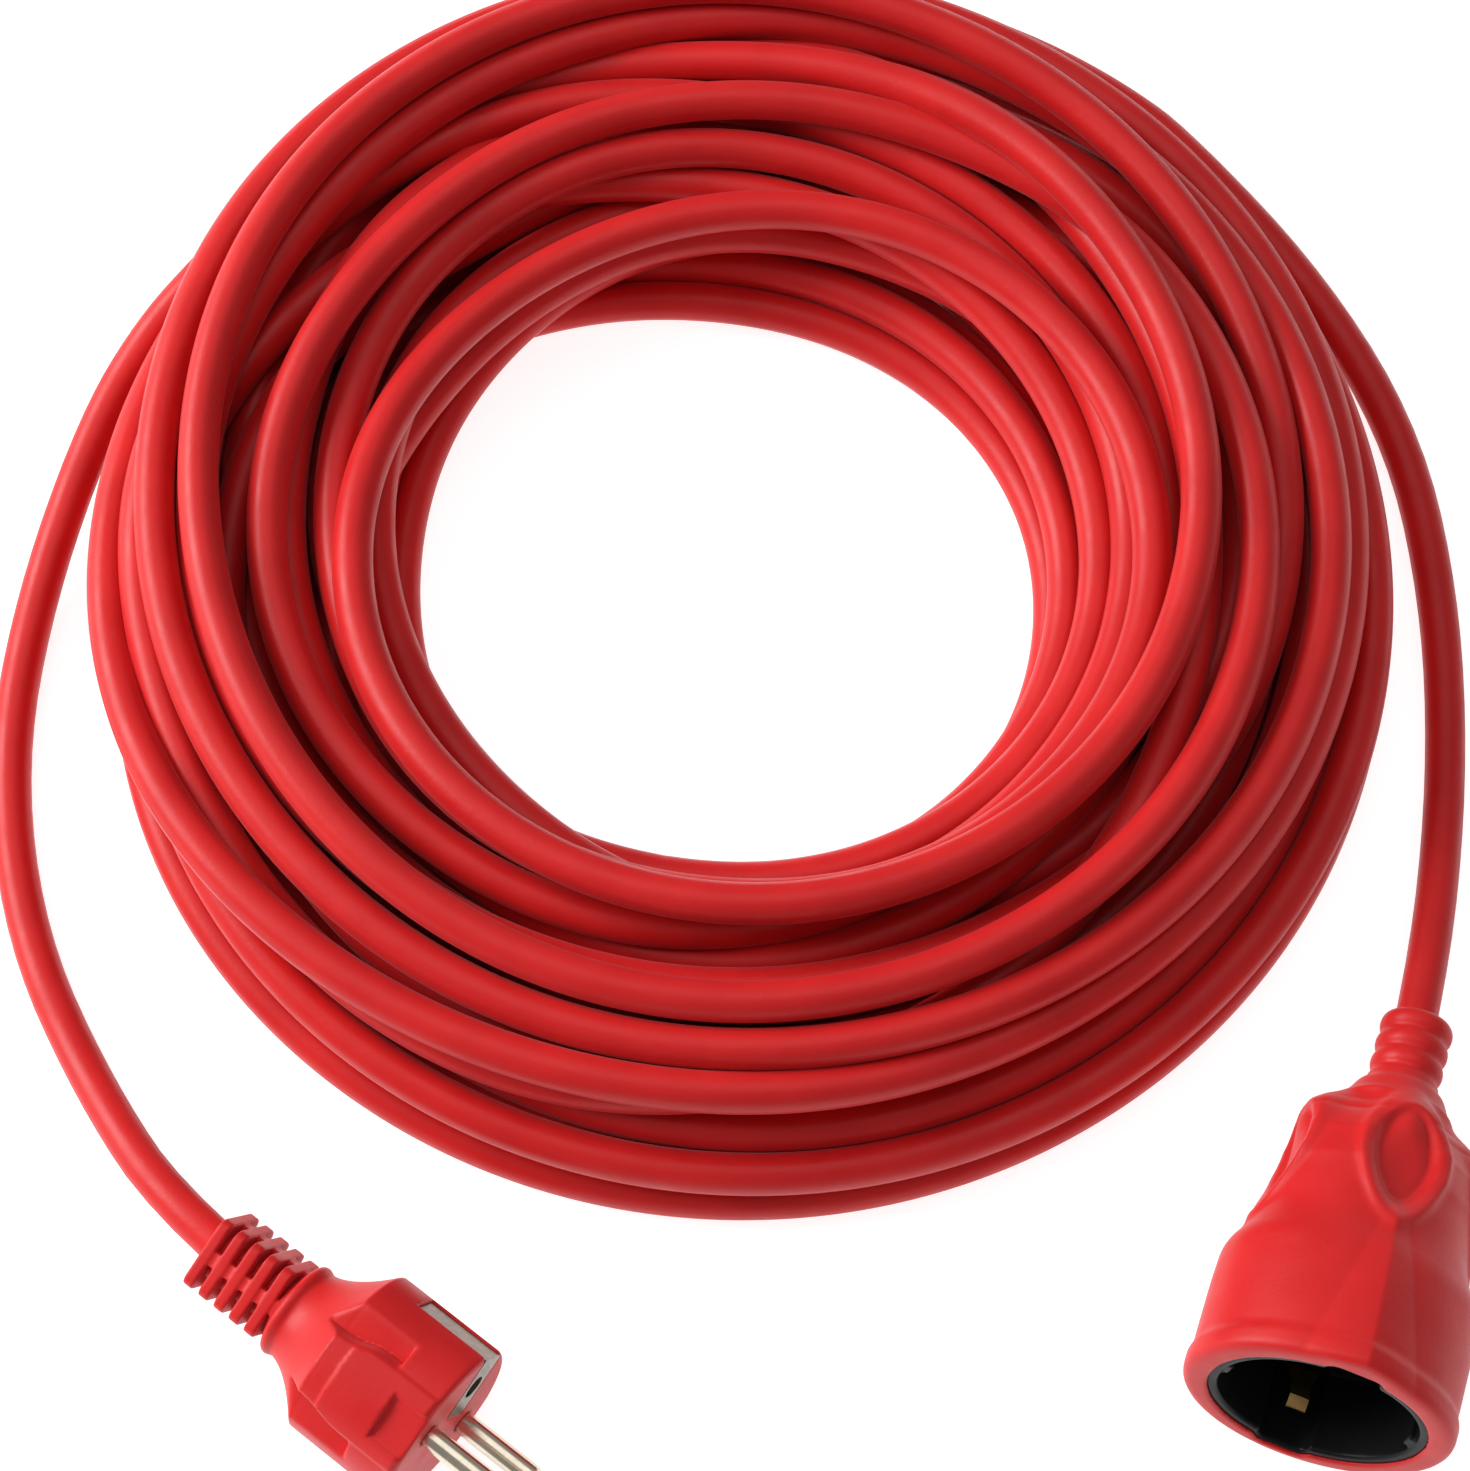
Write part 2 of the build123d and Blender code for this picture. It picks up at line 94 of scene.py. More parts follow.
RECESS_R = 19.6
INSERT_R = 21.9
INSERT_BACK_Z = -20.5
RECESS_FLOOR_Z = -17.5
CHANNEL_HALF = 6.2
CHANNEL_R = 23.0
CHANNEL_WALL = 1.0
CHANNEL_ROUND = 3.0
INSERT_SUNK = 0.6         # the insert ends this far behind the lip, which covers its edge
LIP_COVER = 0.8
BASE_R = 15.4
BASE_Z = -33.5
SOCKET_POCKET = [(-50.0, 6.5), (-44.5, 13.0), (BASE_Z, 14.8)]   # z and radius of the hollow for the cores
HOLE_R = 2.6              # pin entries
GUIDE_RIB_HALF = 1.9      # ribs that fit the plug's guide grooves
GUIDE_RIB_T = 1.5
CLIP_SLOT_HALF = 3.7
CLIP_SLOT_Y = (19.4, 21.2)
SOCKET_NECK_Z = -70.0
SOCKET_END_Z = -88.0
RING_R = 7.4
RING_CORE_R = 6.5
RINGS = 4


# ---------------------------------------------------------------- camera, floor and light
CAMERA_TARGET = Vector((-0.0206, 0.11729, 0.0))
CAMERA_DISTANCE = 0.820
CAMERA_ELEVATION = math.radians(67.0)
CAMERA_LENS = 94.04       # millimetres, on a sensor 36 mm wide


def camera():
    data = bpy.data.cameras.new("camera")
    data.sensor_width = 36.0
    data.lens = CAMERA_LENS
    view = bpy.data.objects.new("camera", data)
    back = Vector((0.0, -math.cos(CAMERA_ELEVATION), math.sin(CAMERA_ELEVATION)))
    view.location = CAMERA_TARGET + CAMERA_DISTANCE * back
    view.rotation_euler = Euler((math.pi / 2 - CAMERA_ELEVATION, 0.0, 0.0))
    bpy.context.scene.collection.objects.link(view)
    bpy.context.scene.camera = view


def area_light(name, place, aim, size, power):
    data = bpy.data.lights.new(name, "AREA")
    data.shape = "RECTANGLE"
    data.size, data.size_y = size
    data.energy = power
    light = bpy.data.objects.new(name, data)
    light.location = place
    direction = Vector(aim) - Vector(place)
    light.rotation_euler = direction.to_track_quat("-Z", "Y").to_euler()
    bpy.context.scene.collection.objects.link(light)


def studio():
    world = bpy.data.worlds.new("studio")
    world.use_nodes = True
    background = world.node_tree.nodes["Background"]
    background.inputs["Color"].default_value = (1.0, 1.0, 1.0, 1.0)
    background.inputs["Strength"].default_value = 0.30
    bpy.context.scene.world = world
    bpy.context.scene.view_settings.view_transform = "Standard"
    area_light("key", (-1.5, 0.55, 0.95), (0.0, 0.1, 0.0), (1.2, 0.9), 40.0)
    area_light("top", (-0.1, 0.4, 1.9), (0.0, 0.1, 0.0), (1.6, 1.2), 7.0)
    bpy.ops.mesh.primitive_grid_add(x_subdivisions=4, y_subdivisions=4, size=12.0)
    floor = bpy.context.object
    floor.name = "floor"
    floor.data.materials.append(floor_material())


# ---------------------------------------------------------------- materials
def new_material(name):
    material = bpy.data.materials.new(name)
    material.use_nodes = True
    tree = material.node_tree
    return material, tree, tree.nodes["Principled BSDF"]


def noise(tree, scale, detail=3.0, stretch=(1.0, 1.0, 1.0)):
    """Noise over the object's own coordinates, in cycles a metre."""
    where = tree.nodes.new("ShaderNodeTexCoord")
    mapping = tree.nodes.new("ShaderNodeMapping")
    mapping.inputs["Scale"].default_value = stretch
    texture = tree.nodes.new("ShaderNodeTexNoise")
    texture.inputs["Scale"].default_value = scale
    texture.inputs["Detail"].default_value = detail
    tree.links.new(where.outputs["Object"], mapping.inputs["Vector"])
    tree.links.new(mapping.outputs["Vector"], texture.inputs["Vector"])
    return texture.outputs["Fac"]


def spread(tree, value, low, high):
    """The value, mapped from the middle of a noise to low and high."""
    node = tree.nodes.new("ShaderNodeMapRange")
    node.inputs["From Min"].default_value = 0.3
    node.inputs["From Max"].default_value = 0.7
    node.inputs["To Min"].default_value = low
    node.inputs["To Max"].default_value = high
    tree.links.new(value, node.inputs["Value"])
    return node.outputs["Result"]


def two_tone(tree, value, dark, light):
    ramp = tree.nodes.new("ShaderNodeValToRGB")
    ramp.color_ramp.elements[0].position = 0.32
    ramp.color_ramp.elements[0].color = (*dark, 1.0)
    ramp.color_ramp.elements[1].position = 0.68
    ramp.color_ramp.elements[1].color = (*light, 1.0)
    tree.links.new(value, ramp.inputs["Fac"])
    return ramp.outputs["Color"]


def bumps(tree, shader, *layers):
    """Bump layers (height, depth in metres), one on top of the other."""
    normal = None
    for height, depth in layers:
        bump = tree.nodes.new("ShaderNodeBump")
        bump.inputs["Strength"].default_value = 1.0
        bump.inputs["Distance"].default_value = depth
        tree.links.new(height, bump.inputs["Height"])
        if normal:
            tree.links.new(normal, bump.inputs["Normal"])
        normal = bump.outputs["Normal"]
    tree.links.new(normal, shader.inputs["Normal"])


def plastic(name, dark, light, roughness, grain=900.0, depth=0.00004, sheen=0.0, gloss=0.28):
    """Moulded plastic or rubber: faint mottling, fine grain and patches of different gloss."""
    material, tree, shader = new_material(name)
    mottle = noise(tree, 60.0, 4.0)
    tree.links.new(two_tone(tree, mottle, dark, light), shader.inputs["Base Color"])
    patches = noise(tree, 140.0, 5.0)
    tree.links.new(spread(tree, patches, roughness - 0.05, roughness + 0.07), shader.inputs["Roughness"])
    shader.inputs["Specular IOR Level"].default_value = gloss
    shader.inputs["Sheen Weight"].default_value = sheen
    shader.inputs["Sheen Roughness"].default_value = 0.45
    shader.inputs["Sheen Tint"].default_value = (1.0, 0.55, 0.6, 1.0)
    bumps(tree, shader, (patches, depth * 1.5), (noise(tree, grain, 2.0), depth))
    return material


def metal(name, dark, light, roughness, brushed=(1.0, 1.0, 1.0)):
    """Plated or bare metal with fine drawing lines and faint tarnish."""
    material, tree, shader = new_material(name)
    tarnish = noise(tree, 180.0, 4.0)
    tree.links.new(two_tone(tree, tarnish, dark, light), shader.inputs["Base Color"])
    shader.inputs["Metallic"].default_value = 1.0
    lines = noise(tree, 1600.0, 2.0, brushed)
    tree.links.new(spread(tree, lines, roughness - 0.03, roughness + 0.05), shader.inputs["Roughness"])
    bumps(tree, shader, (lines, 0.0000004))
    return material


def wire_metal(name):
    """Stranded copper: a fine twist over drawn metal."""
    material, tree, shader = new_material(name)
    wave = tree.nodes.new("ShaderNodeTexWave")
    wave.bands_direction = "DIAGONAL"
    wave.inputs["Scale"].default_value = 900.0
    wave.inputs["Distortion"].default_value = 0.4
    where = tree.nodes.new("ShaderNodeTexCoord")
    tree.links.new(where.outputs["Object"], wave.inputs["Vector"])
    copper = two_tone(tree, wave.outputs["Fac"], (0.50, 0.20, 0.10), (0.90, 0.46, 0.28))
    tree.links.new(copper, shader.inputs["Base Color"])
    shader.inputs["Metallic"].default_value = 1.0
    shader.inputs["Roughness"].default_value = 0.32
    bumps(tree, shader, (wave.outputs["Fac"], 0.0001))
    return material


def banded_core(name):
    """Green insulation with yellow bands."""
    material, tree, shader = new_material(name)
    where = tree.nodes.new("ShaderNodeTexCoord")
    wave = tree.nodes.new("ShaderNodeTexWave")
    wave.bands_direction = "DIAGONAL"
    wave.inputs["Scale"].default_value = 55.0
    tree.links.new(where.outputs["Object"], wave.inputs["Vector"])
    colour = two_tone(tree, wave.outputs["Fac"], (0.02, 0.22, 0.05), (0.80, 0.62, 0.03))
    tree.links.new(colour, shader.inputs["Base Color"])
    fine = noise(tree, 900.0)
    tree.links.new(spread(tree, fine, 0.36, 0.46), shader.inputs["Roughness"])
    bumps(tree, shader, (fine, 0.00002))
    return material


def floor_material():
    material, tree, shader = new_material("studio_floor")
    tone = two_tone(tree, noise(tree, 3.0), (0.50, 0.50, 0.50), (0.54, 0.54, 0.54))
    tree.links.new(tone, shader.inputs["Base Color"])
    shader.inputs["Roughness"].default_value = 0.9
    shader.inputs["Specular IOR Level"].default_value = 0.1
    shader.inputs["Emission Color"].default_value = (1.0, 1.0, 1.0, 1.0)
    shader.inputs["Emission Strength"].default_value = 0.85
    return material


def all_materials():
    return {
        "moulded_rubber_red": plastic(
            "moulded_rubber_red", (0.56, 0.010, 0.011), (0.63, 0.014, 0.014), 0.46, sheen=0.12),
        "sheath_red": plastic(
            "sheath_red", (0.55, 0.009, 0.010), (0.62, 0.013, 0.013), 0.42, grain=1100.0, sheen=0.12),
        "insert_black": plastic(
            "insert_black", (0.006, 0.006, 0.007), (0.010, 0.010, 0.011), 0.34, gloss=0.1),
        "base_black": plastic("base_black", (0.012, 0.012, 0.012), (0.02, 0.02, 0.02), 0.5),
        "carrier_grey": plastic("carrier_grey", (0.16, 0.16, 0.17), (0.22, 0.22, 0.23), 0.5),
        "pin_plated": metal("pin_plated", (0.66, 0.58, 0.46), (0.74, 0.66, 0.53), 0.20),
        "strap_plated": metal(
            "strap_plated", (0.20, 0.18, 0.15), (0.30, 0.27, 0.22), 0.36, (1.0, 1.0, 0.1)),
        "contact_brass": metal("contact_brass", (0.62, 0.42, 0.14), (0.80, 0.58, 0.24), 0.28),
        "clip_brass": metal(
            "clip_brass", (0.66, 0.42, 0.14), (0.86, 0.62, 0.28), 0.22, (1.0, 1.0, 0.1)),
        "crimp_tinned": metal("crimp_tinned", (0.55, 0.55, 0.56), (0.70, 0.70, 0.72), 0.35),
        "wire_copper": wire_metal("wire_copper"),
        "core_brown": plastic("core_brown", (0.10, 0.035, 0.012), (0.14, 0.05, 0.02), 0.42),
        "core_blue": plastic("core_blue", (0.01, 0.06, 0.36), (0.015, 0.09, 0.46), 0.42),
        "core_green_yellow": banded_core("core_green_yellow"),
    }


# ---------------------------------------------------------------- fields
# A field is the distance to a surface in millimetres, below zero inside it.
def blend_min(a, b, k):
    h = np.clip(0.5 + 0.5 * (b - a) / k, 0.0, 1.0)
    return b * (1 - h) + a * h - k * h * (1 - h)


def join(a, b, k=0.4):
    return blend_min(a, b, k)


def both(a, b, k=0.4):
    return -blend_min(-a, -b, k)


def cut(a, b, k=0.4):
    return -blend_min(-a, b, k)


def slab(v, low, high):
    return np.maximum(low - v, v - high)


def cylinder(p, radius, z0, z1, x=0.0, y=0.0, k=0.3):
    return both(np.hypot(p[0] - x, p[1] - y) - radius, slab(p[2], z0, z1), k)


def bar(p, x_range, y_range, z_range):
    return np.maximum(np.maximum(slab(p[0], *x_range), slab(p[1], *y_range)), slab(p[2], *z_range))


def rounded_square(p, half, corner):
    qx = np.abs(p[0]) - (half - corner)
    qy = np.abs(p[1]) - (half - corner)
    outside = np.hypot(np.maximum(qx, 0.0), np.maximum(qy, 0.0))
    return outside + np.minimum(np.maximum(qx, qy), 0.0) - corner


def turned(p, stations, slope=1.0):
    """Solid of revolution from (z, radius) stations."""
    z, radius = zip(*sorted(stations))
    return (np.hypot(p[0], p[1]) - np.interp(p[2], z, radius)) * slope


def shape_of(name, field, reach, z_range, step, place):
    """The surface where the field is zero, as a mesh in the part's frame."""
    counts = [int(round(2 * reach / step)) + 1] * 2 + [int(round((z_range[1] - z_range[0]) / step)) + 1]
    origin = np.array((-reach, -reach, z_range[0]))
    axes = [origin[i] + step * np.arange(counts[i], dtype=np.float32) for i in range(3)]
    values = field(np.meshgrid(*axes, indexing="ij"))
    grid = openvdb.FloatGrid(background=10.0)
    grid.copyFromArray(values.astype(np.float32))
    points, quads = grid.convertToQuads(0.0)
    mesh = bpy.data.meshes.new(name)
    mesh.from_pydata((points * step + origin) * MM, [], quads[:, ::-1].tolist())
    mesh.transform(place)
    mesh.shade_smooth()
    mesh.validate()
    piece = bpy.data.objects.new(name, mesh)
    bpy.context.scene.collection.objects.link(piece)
    return piece


def finish_piece(piece, body, slot, *replaced):
    if piece.data.materials:
        piece.data.materials[0] = MATERIALS[slot]
    else:
        piece.data.materials.append(MATERIALS[slot])
    if replaced:
        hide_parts(*replaced)
    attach(piece, body)
    return piece


# ---------------------------------------------------------------- places, from the record
def mount(name):
    return next(m for m in frame["record"]["mounts"] if m["name"] == name)


def local_frame(x_mount, other_mount, back):
    """+Z along the mounts' axis and +X towards x_mount, with its origin that far in front."""
    at_x = Vector(mount(x_mount)["pos_m"])
    at_other = Vector(mount(other_mount)["pos_m"])
    z = Vector(mount(x_mount)["axis"]).normalized()
    x = (at_x - at_other).normalized()
    y = z.cross(x)
    place = Matrix((x, y, z)).transposed().to_4x4()
    place.translation = (at_x + at_other) / 2 + z * back * MM
    return place


PIN_MOUNT_Z = 8.8         # the pins' mounts stand this far in front of the plug's face
CONTACT_MOUNT_Z = -26.5   # and the contacts' this far behind the socket's mouth
PLUG = local_frame("plug_pin_live", "plug_pin_neutral", -PIN_MOUNT_Z)
SOCKET = local_frame("socket_contact_neutral", "socket_contact_live", -CONTACT_MOUNT_Z)


def along(place, z):
    """A point on the frame's axis, that far behind the face or mouth."""
    return place @ Vector((0.0, 0.0, -z * MM))


# ---------------------------------------------------------------- the cord
STATIONS = 60             # points of the coil in one turn
COIL_AT = (-20.0, 152.0)
LIE_Z = 4.4
LOW_TURNS = 23            # turns that lie under the ones worked out one by one
FIRST_AZIMUTH = 48.0      # where the socket's tail joins the coil
LAST_AZIMUTH = 150.0      # and where the plug's tail leaves it
PLUG_TAIL_START = (131.5, 26.0)      # radius and height where the tails join the coil
SOCKET_TAIL_START = (148.0, LIE_Z)
SOCKET_TAIL = [(129.5, 101, LIE_Z), (131.5, 145, LIE_Z), (126, 187, LIE_Z), (107, 226, LIE_Z)]
PLUG_TAIL = [
    (-147, 205, 20), (-159, 186, 13), (-171, 148, 5.5), (-175, 109, LIE_Z), (-168, 70, LIE_Z),
    (-151, 36, 7.5),
]
FIRST_KNOTS = [(12, 152.0), (15, 151.0), (19, 143.0), (24, 130.0)]   # stations and radii of the way in
GOLDEN = 0.618034         # step from turn to turn, as a share of the pile's width
OUTERMOST = 153.0
# how firmly a station is held to the radius that it is wound to
LOW_HOLD, TOP_HOLD, START_HOLD = 0.02, 0.12, 0.2
# the loops on top, lowest first: radius where each starts, and how far and towards which
# azimuth it is off centre. The last line is where the uppermost loop ends.
TOP_LOOPS = [
    (134, 9, 95), (124, 7, 35), (115, 13, 95), (113, 5, 350), (94, 7, 155), (86, 8, 315), (77, 4, 200),
    (121, 0, 0),
]


def outer_limit(azimuth):
    """How far out the pile reaches: it bulges at the back and the front, and dips at the way out."""
    back = np.maximum(0.0, np.cos(azimuth - 1.4))
    front = np.maximum(0.0, -np.sin(azimuth))
    descent = np.exp(-((np.degrees(azimuth) % 360 - 148) / 26.0) ** 2)
    return 132.5 + 6.5 * back + 6.0 * front - 7.0 * descent


def inner_limit(azimuth):
    """The hole is round, and a little off the pile's centre."""
    return 69.4 - 6.8 * np.cos(azimuth - 1.27)


def through_knots(at, values, where):
    """A smooth line through uneven knots."""
    at = np.array(at, float)
    values = np.array(values, float)
    k = np.clip(np.searchsorted(at, where, side="right") - 1, 0, len(at) - 2)
    t = (where - at[k]) / (at[k + 1] - at[k])
    p0, p1 = values[np.maximum(k - 1, 0)], values[k]
    p2, p3 = values[k + 1], values[np.minimum(k + 2, len(values) - 1)]
    bend = 2 * p0 - 5 * p1 + 4 * p2 - p3
    twist = 3 * p1 - p0 - 3 * p2 + p3
    return 0.5 * (2 * p1 + (p2 - p0) * t + bend * t * t + twist * t ** 3)


def wound_radii():
    """The radius that each turn is wound to, before it settles, and where the top turns start."""
    quarter = STATIONS // 4
    first = round(FIRST_AZIMUTH / 360 * STATIONS)
    knots = [(first, SOCKET_TAIL_START[0]), *FIRST_KNOTS]
    station = 2 * quarter
    for k in range(LOW_TURNS * 4):
        azimuth = station / STATIONS * 2 * math.pi
        share = (0.35 + GOLDEN * (k // 4) + 0.1 * math.sin(2.4 * k)) % 1.0
        share = min(max(1.4 * share - 0.2, 0.0), 1.0)
        low, high = inner_limit(azimuth), outer_limit(azimuth)
        knots.append((station, low + (high - low) * share))
        station += quarter
    top_start = station
    loops = len(TOP_LOOPS) - 1
    for k in range(loops * 8):
        (start, shift, towards), end = TOP_LOOPS[k // 8], TOP_LOOPS[k // 8 + 1][0]
        radius = start + (end - start) * (k % 8) / 8
        around = math.radians(180 + 45 * k - towards)
        knots.append((top_start + k * STATIONS / 8, radius + shift * math.cos(around)))
    last = top_start + round(((LAST_AZIMUTH - 180) / 360 + loops) * STATIONS)
    knots[-1] = (last, PLUG_TAIL_START[0])
    where = np.arange(first, last + 1)
    return where, through_knots(*zip(*knots), where), top_start


def eased(v):
    """Each value drawn towards its neighbours, which is the cord's stiffness."""
    out = v.copy()
    out[1:-1] = 0.25 * v[:-2] + 0.5 * v[1:-1] + 0.25 * v[2:]
    return out


def push_apart(r, z, live, turns, reach):
    """Moves strands that overlap at a station away from each other."""
    a, b = np.triu_indices(turns, 1)
    rows_r, rows_z, rows_live = (v.reshape(turns, STATIONS) for v in (r, z, live))
    dr = rows_r[b] - rows_r[a]
    dz = rows_z[b] - rows_z[a]
    gap = np.hypot(dr, dz) + 1e-6
    over = np.where(rows_live[a] & rows_live[b] & (gap < reach), 0.4 * (reach - gap) / gap, 0.0)
    moves = [np.zeros((turns, STATIONS)) for _ in range(2)]
    for move, part in zip(moves, (over * dr, over * dz)):
        np.add.at(move, b, part)
        np.add.at(move, a, -part)
    return r + moves[0].ravel(), z + moves[1].ravel()


def settled(where, wound, top_start, steps=300, drop=0.45):
    """Lets the turns sink on each other until they lie in a pile."""
    turns = where[-1] // STATIONS + 1
    size = turns * STATIONS
    a, b = where[0], where[-1] + 1
    r, z, goal = np.zeros(size), np.zeros(size), np.zeros(size)
    live = np.zeros(size, bool)
    live[a:b] = True
    r[a:b] = goal[a:b] = wound
    z[a:b] = LIE_Z + 3.2 * (where - a) / STATIONS
    hold = np.full(size, LOW_HOLD)
    hold[top_start:] = TOP_HOLD
    hold[:a + 30] = START_HOLD
    azimuth = np.arange(size) / STATIONS * 2 * math.pi
    low, high = inner_limit(azimuth), outer_limit(azimuth) + 2.0
    high[:a + 40] = high[b - 40:] = OUTERMOST
    for step in range(steps):
        if step < steps - 60:
            z[a:b] -= drop
        r[a:b] += hold[a:b] * (goal[a:b] - r[a:b])
        for _ in range(6):
            r[a:b], z[a:b] = eased(r[a:b]), eased(z[a:b])
        for _ in range(4):
            r, z = push_apart(r, z, live, turns, CORD_D)
            r, z = np.clip(r, low, high), np.maximum(z, LIE_Z)
        r[a], z[a] = SOCKET_TAIL_START
        r[b - 1], z[b - 1] = PLUG_TAIL_START
    r, z = r[a:b], z[a:b]
    for _ in range(5):
        r, z = eased(r), eased(z)
    return r, np.maximum(z, LIE_Z)


def coil_points():
    where, wound, top_start = wound_radii()
    r, z = settled(where, wound, top_start)
    azimuth = where / STATIONS * 2 * math.pi
    x = COIL_AT[0] + r * np.cos(azimuth)
    y = COIL_AT[1] + r * np.sin(azimuth)
    return [Vector(p) * MM for p in zip(x, y, z)]


def cord():
    """From inside the socket, along the floor, through the coil and into the plug."""
    socket_tail = [along(SOCKET, 60.0), along(SOCKET, 94.0), *(Vector(p) * MM for p in SOCKET_TAIL)]
    plug_tail = [*(Vector(p) * MM for p in PLUG_TAIL), along(PLUG, 69.0), along(PLUG, 34.0)]
    points = socket_tail + coil_points() + plug_tail
    curve = bpy.data.curves.new("cord", "CURVE")
    curve.dimensions = "3D"
    curve.bevel_depth = CORD_D / 2 * MM
    curve.bevel_resolution = 5
    curve.use_fill_caps = True
    spline = curve.splines.new("NURBS")
    spline.points.add(len(points) - 1)
    for point, place in zip(spline.points, points):
        point.co = (*place, 1.0)
    spline.order_u = 3
    spline.use_endpoint_u = True
    spline.resolution_u = 6
    piece = bpy.data.objects.new("cord", curve)
    bpy.context.scene.collection.objects.link(piece)
    finish_piece(piece, BODY, "sheath_red", "cord_plug_tail", "cord_coil", "cord_socket_tail")


# ---------------------------------------------------------------- plug
def plug_body_field(p):
    x, y, z = p
    ax, ay = np.abs(x), np.abs(y)
    r = np.hypot(x, y)
    barrel_r = PLUG_R - PAD_RISE
    body = both(r - barrel_r, slab(z, SHOULDER_Z, 0.0), FACE_ROUND)
    share = np.clip((z - COLLAR_Z) / (SHOULDER_Z - COLLAR_Z), 0.0, 1.0)
    cone = (r - NECK_R - (barrel_r - NECK_R) * share ** CONE_CURVE) * 0.8
    body = join(body, both(cone, slab(z, COLLAR_Z - 0.5, SHOULDER_Z + 0.5), 0.2), 0.3)
    collar = both(r - COLLAR_R, slab(z, COLLAR_Z - COLLAR_T, COLLAR_Z), 1.6)
    body = join(body, collar, 0.5)
    # a raised pad in the pins' plane, with a step at its rear edge
    pad_half = PANEL_HALF - 0.4 + 1.0 * np.tanh((z + 19.0) / 3.0)
    pad = np.maximum(r - PLUG_R, np.maximum(ay - pad_half + 0.5, slab(z, *PAD_Z)))
    body = join(body, np.maximum(pad, PAD_X - ax), 0.5)
    grip = np.maximum(np.maximum(GRIP_X - ax, pad_half - ay), slab(z, *GRIP_Z))
    body = cut(body, grip, 0.7)
    groove = np.maximum(np.maximum(GUIDE_X - ax, ay - GUIDE_HALF), slab(z, GUIDE_Z, 5.0))
    body = cut(body, groove, 0.4)
    # slots for the metal strip on the face and sides
    strap_x = (-STRAP_HALF - STRAP_GAP, STRAP_HALF + STRAP_GAP)
    side_slot = bar(p, strap_x, (-40.0, 40.0), (STRAP_BACK_Z - 0.2, 5.0))
    body = cut(body, np.maximum(side_slot, STRAP_OUT_Y - STRAP_T - STRAP_GAP - ay), 0.25)
    face_slot = bar(p, strap_x, (-40.0, FACE_LEG_Y + STRAP_GAP), (-STRAP_T - STRAP_GAP, 5.0))
    body = cut(body, face_slot, 0.25)
    for side in (-1, 1):
        body = cut(body, cylinder(p, PIN_HOLE_R, -10.0, 5.0, side * PIN_X), 0.3)
    body = cut(body, cylinder(p, SLEEVE_R, -10.0, 5.0, 0.0, EARTH_Y), 0.2)
    # the hollow that takes the carrier and the cores
    body = cut(body, cylinder(p, CARRIER_R, *CARRIER_Z), 0.2)
    hollow = np.maximum(turned(p, POCKET, 0.8), slab(z, SPIGOT_Z, CARRIER_Z[0] + 0.2))
    body = cut(body, hollow, 0.3)
    return cut(body, cylinder(p, SPIGOT_R + 0.1, -45.0, SPIGOT_Z + 0.1), 0.2)


def strain_relief_field(p):
    x, y, z = p
    back = COLLAR_Z - COLLAR_T
    end = back - RELIEF_PLATES * RELIEF_PITCH
    field = cylinder(p, SPIGOT_R, back - 1.0, SPIGOT_Z)
    core_side = rounded_square(p, RELIEF_CORE_HALF, RELIEF_CORE_CORNER)
    core = both(core_side, slab(z, end + 0.2, back), 0.4)
    field = join(field, core, 0.5)
    web = np.minimum(np.abs(x), np.abs(y)) - WEB_HALF
    web = np.maximum(web, rounded_square(p, PLATE_HALF - WEB_SUNK, PLATE_CORNER))
    field = join(field, np.maximum(web, slab(z, end + 0.4, back)), 0.5)
    for i in range(RELIEF_PLATES):
        low = end + i * RELIEF_PITCH
        plate = both(rounded_square(p, PLATE_HALF, PLATE_CORNER), slab(z, low, low + PLATE_T), 0.3)
        field = join(field, plate, 0.35)
    return cut(field, cylinder(p, CORD_D / 2, -90.0, -20.0), 0.3)


def plug():
    body = shape_of("plug_shell", plug_body_field, 19.6, (-40.0, 1.2), 0.4, PLUG)
    finish_piece(body, BODY, "moulded_rubber_red", "plug_body")
    relief = shape_of("plug_relief", strain_relief_field, 8.8, (-60.0, -31.6), 0.35, PLUG)
    finish_piece(relief, BODY, "moulded_rubber_red", "plug_strain_relief")


# ---------------------------------------------------------------- socket
# distance behind the mouth, half width and half height of the rubber body
SOCKET_OUTLINE = [
    (-2.0, 25.9, 25.2), (8.0, 26.1, 25.2), (20.0, 26.1, 24.0), (27.2, 25.8, 22.8), (31.0, 23.4, 21.5),
    (36.0, 21.2, 20.2), (45.0, 19.9, 18.7), (54.0, 20.4, 18.0), (58.0, 20.7, 17.9), (60.5, 20.1, 17.3),
    (62.4, 18.0, 15.8), (64.0, 14.8, 13.6), (66.0, 11.6, 11.4), (69.0, 9.9, 9.9), (72.0, 8.8, 8.8),
]
VALLEY = [(47.0, 0.0), (54.0, 1.4), (60.0, 4.6), (63.0, 3.6), (66.5, 0.0)]   # depth between the ears
FINGER_Z = -50.0          # middle of the oval finger recesses
FINGER_HALF = (7.6, 12.6)
FINGER_DEPTH = 2.5
FINGER_RIM = 1.0
FINGER_POINT = 1.75       # 2 is a plain oval, less is more pointed
LIP = 0.75                # how far the lip stands out at the mouth
RIDGE_END = -39.0
RIDGE_TOP = 2.3           # height of the ridge at the mouth


def softened(v, at, values):
    """A line through the values, with its corners rounded over a few millimetres."""
    return sum(np.interp(v + shift, at, values) for shift in (-1.8, -0.9, 0.0, 0.9, 1.8)) / 5


def smooth_share(v, low, high):
    t = np.clip((v - low) / (high - low), 0.0, 1.0)
    return t * t * (3 - 2 * t)


